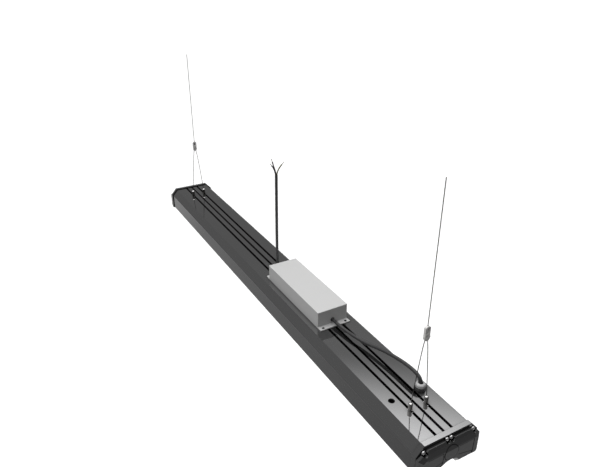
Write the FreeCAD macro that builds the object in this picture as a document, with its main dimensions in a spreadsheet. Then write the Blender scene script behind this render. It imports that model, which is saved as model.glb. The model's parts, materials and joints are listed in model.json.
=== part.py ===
import FreeCAD, Part

import math
import os
import re

import Sketcher

# A linear high bay light: an aluminium extrusion with a light bay under each side, moulded end caps,
# a driver on top and two wire bridles that hang it. X runs along the light, Z is up, and the origin
# lies under the middle of the body, level with the bottom of the end caps.

os.makedirs("parts", exist_ok=True)
doc = FreeCAD.newDocument("HighBay")
Vector = FreeCAD.Vector

# Driving dimensions, in millimetres
SIZES = {
    # whole light
    "light_length": 1200,
    "body_width": 125.2,
    "body_height": 60,
    "top_width": 96,
    "shoulder_drop": 16.2,
    # extruded profile
    "skin": 2.2,
    "lip_level": 6.3,
    "foot_thick": 2,
    "foot_reach": 2.4,
    "lens_groove": 2.2,
    "web_level": 24,
    "web_thick": 2.5,
    "bay_side": 22,
    "arch_side": 18,
    "arch_level": 14,
    "slot_side": 17.1,
    "slot_mouth": 5.4,
    "slot_lip": 2.5,
    "slot_width": 9,
    "slot_depth": 3.6,
    "slot_floor": 1.8,
    "slot_wall": 1.6,
    "groove_width": 5.3,
    "groove_depth": 2,
    "port_radius": 1.7,
    "port_boss": 2.6,
    "mid_port_side": 4.5,
    "mid_port_drop": 3.6,
    "corner_port_inset": 4,
    "corner_port_depth": 2.65,
    # end caps
    "cap_wall": 2.5,
    "cap_wrap": 9,
    "cap_proud": 2.4,
    "cap_clearance": 0.2,
    "cap_toe_inset": 3.6,
    "cap_toe_level": 2.2,
    "cap_foot_side": 30,
    "cap_arch_side": 18,
    "cap_arch_level": 11.6,
    "front_drop": 3.6,
    "front_shoulder_inset": 3,
    "front_shoulder_drop": 18,
    "front_corner_level": 8,
    "front_inset": 0.3,
    "front_straight": 6,
    "front_reach": 12,
    "front_draft": 49,
    "lean_start": 0.8,
    "lean_radius": 60,
    "lean_drop": 23,
    "disc_radius": 14.3,
    "disc_drop": 26,
    "disc_proud": 0.5,
    "panel_depth": 0.6,
    "panel_inner_side": 16,
    "panel_outer_inset": 13.6,
    "panel_drop": 20.5,
    "panel_inner_low": 20.5,
    "panel_outer_low": 12.3,
    "hollow_side_inset": 16.6,
    "hollow_drop": 16,
    "hollow_knee_drop": 21.5,
    "hollow_low": 20,
    "screw_seat": 1.2,
    "cup_radius": 4.8,
    "gasket_thick": 1.5,
    "gasket_inset": 0.4,
    "gasket_window_inset": 6,
    "gasket_window_rise": 1.5,
    "gasket_window_drop": 16,
    # screws
    "cap_screw_head": 3.75,
    "cap_screw_head_tall": 3,
    "cap_screw_length": 14,
    "screw_clearance": 0.1,
    # light sources
    "board_end_gap": 6,
    "board_side_gap": 4.2,
    "board_thick": 1.6,
    "board_screw_inset": 50,
    "board_screw_radius": 1.4,
    "board_screw_head": 2.75,
    "board_screw_head_tall": 1.8,
    "chip_size": 3.5,
    "chip_tall": 0.7,
    "lens_wall": 2,
    "lens_level": 4,
    "lens_clearance": 0.3,
    "lens_edge": 1.8,
    "lens_bevel": 1.5,
    "ridge_gap": 2,
    "ridge_tall": 3,
    # driver
    "driver_middle": 145,
    "driver_length": 219.2,
    "driver_width": 70.4,
    "driver_height": 36.8,
    "driver_base_thick": 2,
    "driver_sheet": 1.5,
    "driver_flange": 12.4,
    "driver_corner": 1.2,
    "flange_hole_reach": 7.8,
    "flange_hole_inset": 8.5,
    "flange_screw_radius": 1.5,
    "flange_screw_head": 2.6,
    "flange_screw_head_tall": 1.4,
    "flange_screw_length": 6,
    "spacer_tall": 3.4,
    "spacer_radius": 3,
    "driver_board_end_gap": 10.1,
    "driver_board_side_gap": 3.7,
    "roof_gap": 4.3,
    "transformer_shift": 18,
    "transformer_length": 36,
    "transformer_width": 34,
    "choke_shift": 58,
    "choke_side": 8,
    "choke_length": 24,
    "choke_width": 26,
    "choke_tall": 18,
    "input_capacitor_shift": 22,
    "input_capacitor_radius": 9,
    "output_capacitor_shift": 52,
    "output_capacitor_side": 14,
    "last_capacitor_shift": 68,
    "output_capacitor_radius": 6,
    "output_capacitor_tall": 20,
    "cord_exit_height": 10,
    "bushing_neck": 4.7,
    "bushing_flange": 5.6,
    "bushing_nose": 8,
    "bushing_nose_wall": 1.4,
    "bushing_flange_thick": 1.2,
    "cord_start": 8,
    # cords
    "lead_diameter": 6.5,
    "core_diameter": 2.6,
    "core_tip_diameter": 1.5,
    "core_tip_length": 7,
    "output_diameter": 7,
    "cord_clearance": 0.15,
    # cable entries
    "entry_inset": 106.4,
    "entry_side": 31.5,
    "entry_radius": 6,
    "entry_clearance": 0.1,
    "gland_washer_radius": 9.6,
    "gland_washer_thick": 1,
    "gland_body_flats": 18.6,
    "gland_body_tall": 4,
    "gland_neck_radius": 7,
    "gland_neck_tall": 4.6,
    "gland_stem_length": 9,
    "gland_bore": 5.4,
    "gland_seal_seat": 2,
    "gland_cap_radius": 9.3,
    "gland_cap_tall": 8.2,
    "gland_cap_roof": 2,
    "gland_cap_mouth": 4.6,
    "gland_nut_flats": 15,
    "gland_nut_thick": 4,
    # wire clamps and bridles
    "clamp_inset": 74.5,
    "clamp_radius": 4,
    "clamp_tall": 12.2,
    "clamp_dome": 3.3,
    "clamp_stud": 1.9,
    "slot_nut_length": 12,
    "slot_nut_width": 8.4,
    "slot_nut_thick": 3.2,
    "wire_diameter": 1.5,
    "wire_clearance": 0.15,
    "wire_tail_height": 2.6,
    "wire_tail_reach": 7,
    "link_level_left": 142,
    "link_level_right": 138,
    "link_half_width": 5,
    "link_tall": 28,
    "link_thick": 4.6,
    "link_crown": 4,
    "link_window_half": 2.5,
    "link_window_tall": 11,
    "bridle_half": 3.4,
    "bridle_loop_height": 8.9,
    "link_screw_radius": 1.2,
    "link_screw_height": 5.5,
    "link_screw_proud": 2.4,
    "link_screw_gap": 0.5,
    "stop_radius": 2,
    "stop_tall": 7.5,
    "hanger_top_left": 422,
    "hanger_top_right": 414,
}

sizes = doc.addObject("Spreadsheet::Sheet", "Sizes")
for row, (alias, number) in enumerate(SIZES.items(), start=1):
    sizes.set(f"A{row}", alias)
    sizes.set(f"B{row}", str(number))
    sizes.setAlias(f"B{row}", alias)
doc.recompute()

# Places that several pieces share, worked out from the sizes
INNER_END = "(light_length / 2 - cap_wall)"
PROFILE_END = f"({INNER_END} - gasket_thick)"
SHOULDER_SLOPE = "(shoulder_drop / (body_width / 2 - top_width / 2))"
SHOULDER_STRETCH = f"sqrt(1 + {SHOULDER_SLOPE} ^ 2)"
WALL_INSIDE = "(body_width / 2 - skin)"
GROOVE_LOW = "(lip_level + foot_thick)"
GROOVE_TOP = f"({GROOVE_LOW} + lens_groove)"
BAY_TOP = f"({GROOVE_TOP} + foot_thick)"
WEB_TOP = "(web_level + web_thick)"
SLOT_LIP = "(body_height - slot_lip)"
SLOT_LOW = f"({SLOT_LIP} - slot_depth)"
RIB_SIDE = "(slot_side + slot_width / 2 + slot_wall)"
BAY_MIDDLE = f"((bay_side + {WALL_INSIDE}) / 2)"
BOARD_LENGTH = f"(2 * {PROFILE_END} - 2 * board_end_gap)"
BOARD_WIDTH = f"({WALL_INSIDE} - bay_side - 2 * board_side_gap)"
BOARD_SCREW_PITCH = f"(({BOARD_LENGTH} - 2 * board_screw_inset) / 4)"
CHIP_ROW_SIDE = f"({BOARD_WIDTH} / 4)"
MID_PORT_LEVEL = "(body_height - mid_port_drop)"
CORNER_PORT_SIDE = "(top_width / 2 + corner_port_inset)"
CORNER_PORT_LEVEL = (f"(body_height - {SHOULDER_SLOPE} * corner_port_inset"
                     f" - {SHOULDER_STRETCH} * corner_port_depth)")
ENTRY_PLACE = "(light_length / 2 - entry_inset)"
CLAMP_PLACE = "(light_length / 2 - clamp_inset)"
DRIVER_FLOOR = "(body_height + driver_base_thick)"
DRIVER_HALF = "(driver_length / 2)"
FLANGE_HOLE_REACH = f"({DRIVER_HALF} + flange_hole_reach)"
FLANGE_HOLE_SIDE = "(driver_width / 2 - flange_hole_inset)"
CORD_EXIT_LEVEL = "(body_height + cord_exit_height)"
ROOF_UNDERSIDE = "(body_height - skin)"

nodes = []


def bound(expression):
    """An expression with the sheet's name put before each of its aliases."""
    def with_sheet(word):
        return f"Sizes.{word.group()}" if word.group() in SIZES else word.group()

    return re.sub(r"[a-z][a-z_]*", with_sheet, str(expression))


def size(expression):
    """The value of an expression in the sheet's sizes."""
    return float(sizes.evalExpression(bound(expression)))


def minus(expression):
    return f"-({expression})"


def finished(piece, label):
    """Names a finished piece, so that it is checked and written to a file."""
    piece.Label = label
    nodes.append(piece)
    return piece


def new_body(name):
    return doc.addObject("PartDesign::Body", name)


def set_place(piece, x="0", y="0", z="0"):
    """Binds a piece's position to the sheet."""
    for axis, expression in zip("xyz", (x, y, z)):
        piece.setExpression(f"Placement.Base.{axis}", bound(expression))


def circle(y, z, radius):
    return {"centre": (y, z), "radius": radius}


def mirrored(half):
    """A closed outline from the corners of its +Y half, taken from the middle of the top downwards.

    A third entry on a corner is the radius of the arc from it to the next corner.
    """
    other = []
    for index in range(len(half) - 1, -1, -1):
        corner = (minus(half[index][0]), half[index][1])
        if index and len(half[index - 1]) == 3:
            corner += (half[index - 1][2],)
        other.append(corner)
    return list(half) + other


def arc_through(start, end, radius):
    """An arc that bulges to the left of the way from start to end, or to the right if radius is negative."""
    chord = end - start
    half = chord.Length / 2
    normal = Vector(-chord.y, chord.x, 0) / chord.Length
    side = math.copysign(1, radius)
    centre = (start + end) / 2 - normal * side * math.sqrt(radius ** 2 - half ** 2)
    first = math.atan2(start.y - centre.y, start.x - centre.x)
    last = math.atan2(end.y - centre.y, end.x - centre.x)
    backwards = side > 0
    if backwards:
        first, last = last, first
    if last < first:
        last += 2 * math.pi
    ring = Part.Circle(centre, Vector(0, 0, 1), abs(radius))
    return Part.ArcOfCircle(ring, first, last), backwards


def add_sketch(body, role, loops, offset="0"):
    """A sketch on one of the body's origin planes, with every corner bound to the sheet's sizes."""
    plane = [feature for feature in body.Origin.OriginFeatures if feature.Role == role][0]
    sketch = body.newObject("Sketcher::SketchObject", f"{body.Name}Sketch")
    sketch.AttachmentSupport = [(plane, "")]
    sketch.MapMode = "FlatFace"
    sketch.setExpression("AttachmentOffset.Base.z", bound(offset))
    constraints = []
    driven = []

    def hold(kind, geometry, point, expression):
        constraints.append(Sketcher.Constraint(kind, -1, 1, geometry, point, size(expression)))
        driven.append((len(constraints) - 1, expression))

    def hold_radius(geometry, expression):
        constraints.append(Sketcher.Constraint("Radius", geometry, size(expression)))
        driven.append((len(constraints) - 1, expression))

    for loop in loops:
        if isinstance(loop, dict):
            y, z = loop["centre"]
            geometry = sketch.addGeometry(Part.Circle(Vector(size(y), size(z), 0), Vector(0, 0, 1),
                                                      size(loop["radius"])), False)
            hold("DistanceX", geometry, 3, y)
            hold("DistanceY", geometry, 3, z)
            hold_radius(geometry, loop["radius"])
            continue
        corners = [Vector(size(corner[0]), size(corner[1]), 0) for corner in loop]
        ends = []
        for index, corner in enumerate(loop):
            start = corners[index]
            end = corners[(index + 1) % len(loop)]
            backwards = False
            if len(corner) == 3:
                edge, backwards = arc_through(start, end, size(corner[2]))
            else:
                edge = Part.LineSegment(start, end)
            geometry = sketch.addGeometry(edge, False)
            ends.append((geometry, 2, 1) if backwards else (geometry, 1, 2))
            if len(corner) == 3:
                hold_radius(geometry, f"abs({corner[2]})")
        for index, corner in enumerate(loop):
            geometry, first, last = ends[index]
            following, next_first, next_last = ends[(index + 1) % len(loop)]
            constraints.append(Sketcher.Constraint("Coincident", geometry, last, following, next_first))
            hold("DistanceX", geometry, first, corner[0])
            hold("DistanceY", geometry, first, corner[1])
    sketch.addConstraint(constraints)
    for index, expression in driven:
        sketch.setExpression(f"Constraints[{index}]", bound(expression))
    doc.recompute()
    return sketch


def add_pad(body, sketch, length, both_ways=False, draft=None):
    pad = body.newObject("PartDesign::Pad", f"{body.Name}Pad")
    pad.Profile = sketch
    pad.setExpression("Length", bound(length))
    if both_ways:
        pad.SideType = "Symmetric"
    if draft:
        pad.setExpression("TaperAngle", bound(draft))
    doc.recompute()
    return pad


def add_pocket(body, sketch, depth, both_ways=False, forwards=False):
    """A pocket against the sketch's normal, or along it if forwards, which has to take material away."""
    before = body.Shape.Volume
    pocket = body.newObject("PartDesign::Pocket", f"{body.Name}Pocket")
    pocket.Profile = sketch
    pocket.setExpression("Length", bound(depth))
    pocket.Reversed = forwards
    if both_ways:
        pocket.SideType = "Symmetric"
    doc.recompute()
    if not body.Shape.Volume < before:
        raise RuntimeError(f"{body.Name}: a pocket cuts nothing")
    return pocket


def add_turned(body, section):
    """A solid turned about Z from a section of (radius, height) corners."""
    sketch = add_sketch(body, "XZ_Plane", [section])
    turned = body.newObject("PartDesign::Revolution", f"{body.Name}Turned")
    turned.Profile = sketch
    turned.ReferenceAxis = (sketch, ["V_Axis"])
    turned.Angle = 360
    doc.recompute()
    return turned


def group_of(label, template, places, turn=None):
    """One node of equal solids: a copy of the template at each (x, y, z) place."""
    copies = []
    for x, y, z in places:
        copy = doc.addObject("App::Link", f"{label}_copy")
        copy.LinkedObject = template
        if turn:
            copy.Placement = FreeCAD.Placement(Vector(), turn)
        set_place(copy, x, y, z)
        copies.append(copy)
    group = doc.addObject("Part::Compound", label)
    group.Links = copies
    return finished(group, label)


def box(name, x, y, z, length, width, height):
    """A box centred on x and y, with its bottom at z."""
    block = doc.addObject("Part::Box", name)
    block.setExpression("Length", bound(length))
    block.setExpression("Width", bound(width))
    block.setExpression("Height", bound(height))
    set_place(block, f"{x} - ({length}) / 2", f"{y} - ({width}) / 2", z)
    return block


def route_path(points, share=0.45):
    """Straight runs joined by tangent arcs, each as large as its two runs allow, and the arcs' radii."""
    edges = []
    radii = []
    start = points[0]
    for before, corner, after in zip(points, points[1:], points[2:]):
        into = (corner - before).normalize()
        out = (after - corner).normalize()
        turn = into.getAngle(out)
        reach = share * min((corner - before).Length, (after - corner).Length)
        radius = reach / math.tan(turn / 2)
        radii.append(radius)
        first = corner - into * reach
        last = corner + out * reach
        towards = (out - into).normalize()
        middle = corner + towards * (radius / math.cos(turn / 2) - radius)
        edges.append(Part.LineSegment(start, first).toShape())
        edges.append(Part.Arc(first, middle, last).toShape())
        start = last
    edges.append(Part.LineSegment(start, points[-1]).toShape())
    return Part.Wire(edges), radii


def tube(name, points, diameter, report=True):
    """A round tube along a route, whose volume has to be its section times its length."""
    path, radii = route_path(points)
    first_run = points[1] - points[0]
    ring = Part.Wire([Part.Circle(points[0], first_run, diameter / 2).toShape()])
    solid = path.makePipeShell([ring], True, False)
    expected = math.pi * diameter ** 2 / 4 * path.Length
    if abs(solid.Volume - expected) > 0.01 * expected:
        raise RuntimeError(f"{name}: the tube's volume is {solid.Volume:.1f}, not {expected:.1f}")
    if report:
        shown = ", ".join(f"{radius:.1f}" for radius in radii) or "straight"
        print(f"{name}: {path.Length:.0f} mm long, {diameter:g} mm thick, radii {shown}")
    piece = doc.addObject("Part::Feature", name)
    piece.Shape = solid
    return piece


# Housing: one extrusion with a light bay under each side, a central arch between them, hollows above
# the web, two T slots and a groove along the top, and screw ports that run its whole length

def make_housing():
    half_outline = [
        ("groove_width / 2", "body_height - groove_depth"),
        ("groove_width / 2", "body_height"),
        ("slot_side - slot_mouth / 2", "body_height"),
        ("slot_side - slot_mouth / 2", SLOT_LIP),
        ("slot_side - slot_width / 2", SLOT_LIP),
        ("slot_side - slot_width / 2", SLOT_LOW),
        ("slot_side + slot_width / 2", SLOT_LOW),
        ("slot_side + slot_width / 2", SLOT_LIP),
        ("slot_side + slot_mouth / 2", SLOT_LIP),
        ("slot_side + slot_mouth / 2", "body_height"),
        ("top_width / 2", "body_height"),
        ("body_width / 2", "body_height - shoulder_drop"),
        ("body_width / 2", "lip_level"),
        (f"{WALL_INSIDE} - foot_reach", "lip_level"),
        (f"{WALL_INSIDE} - foot_reach", GROOVE_LOW),
        (WALL_INSIDE, GROOVE_LOW),
        (WALL_INSIDE, GROOVE_TOP),
        (f"{WALL_INSIDE} - foot_reach", GROOVE_TOP),
        (f"{WALL_INSIDE} - foot_reach", BAY_TOP),
        (WALL_INSIDE, BAY_TOP),
        (WALL_INSIDE, "web_level"),
        ("bay_side", "web_level"),
        ("bay_side", BAY_TOP),
        ("bay_side + foot_reach", BAY_TOP),
        ("bay_side + foot_reach", GROOVE_TOP),
        ("bay_side", GROOVE_TOP),
        ("bay_side", GROOVE_LOW),
        ("bay_side + foot_reach", GROOVE_LOW),
        ("bay_side + foot_reach", "lip_level"),
    ]
    arch_rise = "(arch_level - lip_level)"
    arch_radius = f"(arch_side ^ 2 + {arch_rise} ^ 2) / (2 * {arch_rise})"
    # the arch over the middle is an arc that bulges upwards
    half_outline.append(("arch_side", "lip_level", minus(arch_radius)))
    wire_side = "(bay_side - skin)"
    wire_low = GROOVE_LOW
    wire_rise = f"(arch_level + skin - {wire_low})"
    wire_radius = f"({wire_side} ^ 2 + {wire_rise} ^ 2) / (2 * {wire_rise})"
    arch_hollow = mirrored([(wire_side, "web_level"), (wire_side, wire_low, minus(wire_radius))])
    middle_hollow = mirrored([("slot_side + slot_width / 2", f"{SLOT_LOW} - slot_floor"),
                              ("slot_side + slot_width / 2", WEB_TOP)])
    inner_slope = f"(skin * {SHOULDER_STRETCH})"
    loops = [mirrored(half_outline), arch_hollow, middle_hollow]
    for side in ("", "-1 * "):
        loops.append([
            (f"{side}{RIB_SIDE}", WEB_TOP),
            (f"{side}{WALL_INSIDE}", WEB_TOP),
            (f"{side}{WALL_INSIDE}",
             f"body_height - {SHOULDER_SLOPE} * ({WALL_INSIDE} - top_width / 2) - {inner_slope}"),
            (f"{side}(top_width / 2 + (skin - {inner_slope}) / {SHOULDER_SLOPE})", ROOF_UNDERSIDE),
            (f"{side}{RIB_SIDE}", ROOF_UNDERSIDE),
        ])
    for side in ("", "-1 * "):
        loops.append(circle(f"{side}mid_port_side", MID_PORT_LEVEL, "port_radius"))
    housing = new_body("Housing")
    whole_length = f"2 * {PROFILE_END}"
    add_pad(housing, add_sketch(housing, "YZ_Plane", loops), whole_length, both_ways=True)
    bosses = [circle(f"{side}{CORNER_PORT_SIDE}", CORNER_PORT_LEVEL, "port_boss") for side in ("", "-1 * ")]
    add_pad(housing, add_sketch(housing, "YZ_Plane", bosses), whole_length, both_ways=True)
    ports = [circle(f"{side}{CORNER_PORT_SIDE}", CORNER_PORT_LEVEL, "port_radius") for side in ("", "-1 * ")]
    add_pocket(housing, add_sketch(housing, "YZ_Plane", ports), whole_length, both_ways=True)
    # two cable entries and the holes for the driver's screws, through the top plate
    holes = [circle(ENTRY_PLACE, f"{side}entry_side", "entry_radius") for side in ("", "-1 * ")]
    for end in ("", "-1 * "):
        for side in ("", "-1 * "):
            holes.append(circle(f"driver_middle + {end}{FLANGE_HOLE_REACH}", f"{side}{FLANGE_HOLE_SIDE}",
                                "flange_screw_radius + screw_clearance"))
    add_pocket(housing, add_sketch(housing, "XY_Plane", holes, "body_height"), "skin + 1")
    # holes in the web for the board screws
    holes = []
    for count in range(-2, 3):
        for side in ("", "-1 * "):
            holes.append(circle(f"{count} * {BOARD_SCREW_PITCH}", f"{side}{BAY_MIDDLE}",
                                "board_screw_radius + screw_clearance"))
    add_pocket(housing, add_sketch(housing, "XY_Plane", holes, WEB_TOP), "web_thick")
    finished(housing, "housing")


# End caps: a moulded lid that wraps the profile's end, with a leaning front

def cap_screw_places():
    places = []
    for side in ("", "-1 * "):
        places.append((f"{side}mid_port_side", MID_PORT_LEVEL))
        places.append((f"{side}{CORNER_PORT_SIDE}", CORNER_PORT_LEVEL))
    return places


def shoulder_corners(offset):
    """The shoulder's two corners, offset outwards from the profile."""
    stretch = f"({offset}) * {SHOULDER_STRETCH}"
    return [
        (f"top_width / 2 + ({stretch} - ({offset})) / {SHOULDER_SLOPE}", f"body_height + ({offset})"),
        (f"body_width / 2 + ({offset})",
         f"body_height - {SHOULDER_SLOPE} * (body_width / 2 + ({offset}) - top_width / 2) + {stretch}"),
    ]


def arch_radius_of(side, crown, foot):
    rise = f"({crown} - ({foot}))"
    return f"(({side}) ^ 2 + {rise} ^ 2) / (2 * {rise})"


def cap_seat_outline(offset):
    """The outline of the profile's end with its lens covers, offset outwards."""
    arch_foot = f"lens_level - ({offset})"
    crown = f"arch_level - ({offset})"
    return mirrored(shoulder_corners(offset) + [
        (f"body_width / 2 + ({offset})", f"lip_level - ({offset})"),
        (f"{WALL_INSIDE} - foot_reach", arch_foot),
        ("bay_side + foot_reach", arch_foot),
        (f"arch_side + ({offset}) / 2", f"lip_level - ({offset})",
         minus(arch_radius_of(f"arch_side + ({offset}) / 2", crown, f"lip_level - ({offset})"))),
    ])


def make_end_cap(label, turned_round):
    cap = new_body(f"{label}_body")
    rim_back = "light_length / 2 - cap_wrap"
    front = "light_length / 2"
    cap_side = "body_width / 2 + cap_proud"
    toe_side = "body_width / 2 - cap_toe_inset"
    rim = mirrored(shoulder_corners("cap_proud") + [
        (cap_side, "lip_level - cap_proud"),
        (toe_side, "cap_toe_level"),
        ("cap_foot_side", "0"),
        ("cap_arch_side", "0", minus(arch_radius_of("cap_arch_side", "cap_arch_level", "0"))),
    ])
    add_pad(cap, add_sketch(cap, "YZ_Plane", [rim], rim_back), "cap_wrap")
    # the front: a short straight part, then a steep draft all round
    front_top = "(body_height - front_drop)"
    outline = mirrored([
        ("top_width / 2 - front_shoulder_inset", front_top),
        (f"{cap_side} - front_inset", "body_height - front_shoulder_drop"),
        (f"{cap_side} - front_inset", "front_corner_level"),
        (toe_side, "front_inset"),
        ("cap_arch_side", "front_inset",
         minus(arch_radius_of("cap_arch_side", "cap_arch_level + front_inset", "front_inset"))),
    ])
    add_pad(cap, add_sketch(cap, "YZ_Plane", [outline], front), "front_straight")
    draft_start = f"{front} + front_straight"
    add_pad(cap, add_sketch(cap, "YZ_Plane", [outline], draft_start), "front_reach - front_straight",
            draft=minus("front_draft"))
    # panels on both sides of the middle, each edge a small step that faces down
    panel_outer = "(body_width / 2 - panel_outer_inset)"
    upper = []
    lower = []
    for side in ("", "-1 * "):
        upper.append([
            (f"{side}panel_inner_side", "0"),
            (f"{side}{panel_outer}", "0"),
            (f"{side}{panel_outer}", "body_height - panel_drop"),
            (f"{side}panel_inner_side", "body_height - panel_drop"),
        ])
        lower.append([
            (f"{side}(panel_inner_side + panel_depth)", "0"),
            (f"{side}({panel_outer} - panel_depth)", "0"),
            (f"{side}({panel_outer} - panel_depth)", "panel_outer_low"),
            (f"{side}(panel_inner_side + panel_depth)", "panel_inner_low"),
        ])
    add_pocket(cap, add_sketch(cap, "YZ_Plane", upper, f"{front} + front_reach - panel_depth"), "front_reach",
               forwards=True)
    add_pocket(cap, add_sketch(cap, "YZ_Plane", lower, f"{front} + front_reach - 2 * panel_depth"), "front_reach",
               forwards=True)
    # a low disc in the middle, and the round slope that cuts back the top of the front and of the disc
    disc = [circle("0", "body_height - disc_drop", "disc_radius")]
    add_pad(cap, add_sketch(cap, "YZ_Plane", disc, draft_start), "front_reach - front_straight + disc_proud")
    slope_foot = f"{front} + front_reach + disc_proud + lean_start"
    slope = [
        (f"{draft_start} - lean_start", front_top, "lean_radius"),
        (slope_foot, "body_height - lean_drop"),
        (f"{slope_foot} + 1", "body_height - lean_drop"),
        (f"{slope_foot} + 1", "body_height"),
        (f"{draft_start} - lean_start", "body_height"),
    ]
    add_pocket(cap, add_sketch(cap, "XZ_Plane", [slope]), "body_width + 4 * cap_proud", both_ways=True)
    # the seat for the profile's end and its gasket, and a hollow that follows the front
    add_pocket(cap, add_sketch(cap, "YZ_Plane", [cap_seat_outline("cap_clearance")], rim_back),
               "cap_wrap - cap_wall", forwards=True)
    hollow_deep = f"{front} + front_reach - 2 * panel_depth - cap_wall"
    hollow = [
        (INNER_END, "hollow_low"),
        (hollow_deep, "hollow_low"),
        (hollow_deep, "body_height - hollow_knee_drop"),
        (draft_start, "body_height - hollow_drop"),
        (INNER_END, "body_height - hollow_drop"),
    ]
    add_pocket(cap, add_sketch(cap, "XZ_Plane", [hollow]), "body_width - 2 * hollow_side_inset", both_ways=True)
    # cups for the screw heads, open at the top in the middle, and the screws' own holes
    cup_side = "(mid_port_side + cup_radius)"
    cup_cross = f"({MID_PORT_LEVEL} - sqrt(cup_radius ^ 2 - mid_port_side ^ 2))"
    middle_cup = [
        (minus(cup_side), "body_height + cap_proud + 1"),
        (minus(cup_side), MID_PORT_LEVEL, minus("cup_radius")),
        ("0", cup_cross, minus("cup_radius")),
        (cup_side, MID_PORT_LEVEL),
        (cup_side, "body_height + cap_proud + 1"),
    ]
    corner_cups = [circle(f"{side}{CORNER_PORT_SIDE}", CORNER_PORT_LEVEL, "cup_radius") for side in ("", "-1 * ")]
    add_pocket(cap, add_sketch(cap, "YZ_Plane", [middle_cup] + corner_cups, f"{front} + screw_seat"),
               "front_reach", forwards=True)
    holes = [circle(y, z, "port_radius + screw_clearance") for y, z in cap_screw_places()]
    add_pocket(cap, add_sketch(cap, "YZ_Plane", holes, rim_back), "2 * cap_wrap", forwards=True)
    if turned_round:
        cap.Placement = FreeCAD.Placement(Vector(), FreeCAD.Rotation(Vector(0, 0, 1), 180))
    finished(cap, label)


def make_gasket(label, turned_round):
    gasket = new_body(f"{label}_body")
    window_side = f"({CORNER_PORT_SIDE} - gasket_window_inset)"
    window = mirrored([
        (window_side, "body_height - gasket_window_drop"),
        (window_side, f"{WEB_TOP} + gasket_window_rise"),
    ])
    holes = [circle(y, z, "port_radius + screw_clearance") for y, z in cap_screw_places()]
    loops = [cap_seat_outline(minus("gasket_inset")), window] + holes
    add_pad(gasket, add_sketch(gasket, "YZ_Plane", loops, PROFILE_END), "gasket_thick")
    if turned_round:
        gasket.Placement = FreeCAD.Placement(Vector(), FreeCAD.Rotation(Vector(0, 0, 1), 180))
    finished(gasket, label)


def make_cap_screws():
    screw = new_body("CapScrew")
    head_edge = "cap_screw_head_tall / 2"
    shank = "(port_radius - screw_clearance)"
    add_turned(screw, [
        ("0", "-cap_screw_length"),
        (shank, "-cap_screw_length"),
        (shank, "0"),
        ("cap_screw_head", "0"),
        ("cap_screw_head", head_edge),
        ("cap_screw_head * 0.62", "cap_screw_head_tall"),
        ("0", "cap_screw_head_tall"),
    ])
    for end, label in ((1, "cap_screws_right"), (-1, "cap_screws_left")):
        places = [(f"{end} * (light_length / 2 + screw_seat)", y, z) for y, z in cap_screw_places()]
        group_of(label, screw, places, FreeCAD.Rotation(Vector(0, 1, 0), end * 90))


# Light sources and lens covers; the rear side is +Y

def make_light_bay(side, sign):
    middle = f"{sign} * {BAY_MIDDLE}"
    board = new_body(f"LedBoard{side}")
    end_side = f"({BOARD_LENGTH} / 2)"
    half_width = f"({BOARD_WIDTH} / 2)"
    outline = [
        (minus(end_side), f"{middle} - {half_width}"),
        (end_side, f"{middle} - {half_width}"),
        (end_side, f"{middle} + {half_width}"),
        (minus(end_side), f"{middle} + {half_width}"),
    ]
    holes = [circle(f"{count} * {BOARD_SCREW_PITCH}", middle, "board_screw_radius + screw_clearance")
             for count in range(-2, 3)]
    add_pad(board, add_sketch(board, "XY_Plane", [outline] + holes, "web_level - board_thick"), "board_thick")
    finished(board, f"led_board_{side}")
    chips = []
    for row in (-1, 1):
        for count in range(30):
            chips.append(box(f"LedChip{side}", f"({count} - 14.5) * {BOARD_LENGTH} / 30",
                             f"({middle} + {row} * {CHIP_ROW_SIDE})", "web_level - board_thick - chip_tall",
                             "chip_size", "chip_size", "chip_tall"))
    group = doc.addObject("Part::Compound", f"LedChips{side}")
    group.Links = chips
    finished(group, f"led_chips_{side}")


def make_board_screws():
    screw = new_body("BoardScrew")
    add_turned(screw, [
        ("0", "-board_screw_head_tall"),
        ("board_screw_head", "-board_screw_head_tall"),
        ("board_screw_head", "0"),
        ("board_screw_radius", "0"),
        ("board_screw_radius", "board_thick + web_thick"),
        ("0", "board_thick + web_thick"),
    ])
    places = []
    for sign in (1, -1):
        for count in range(-2, 3):
            places.append((f"{count} * {BOARD_SCREW_PITCH}", f"{sign} * {BAY_MIDDLE}", "web_level - board_thick"))
    group_of("board_screws", screw, places)


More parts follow.
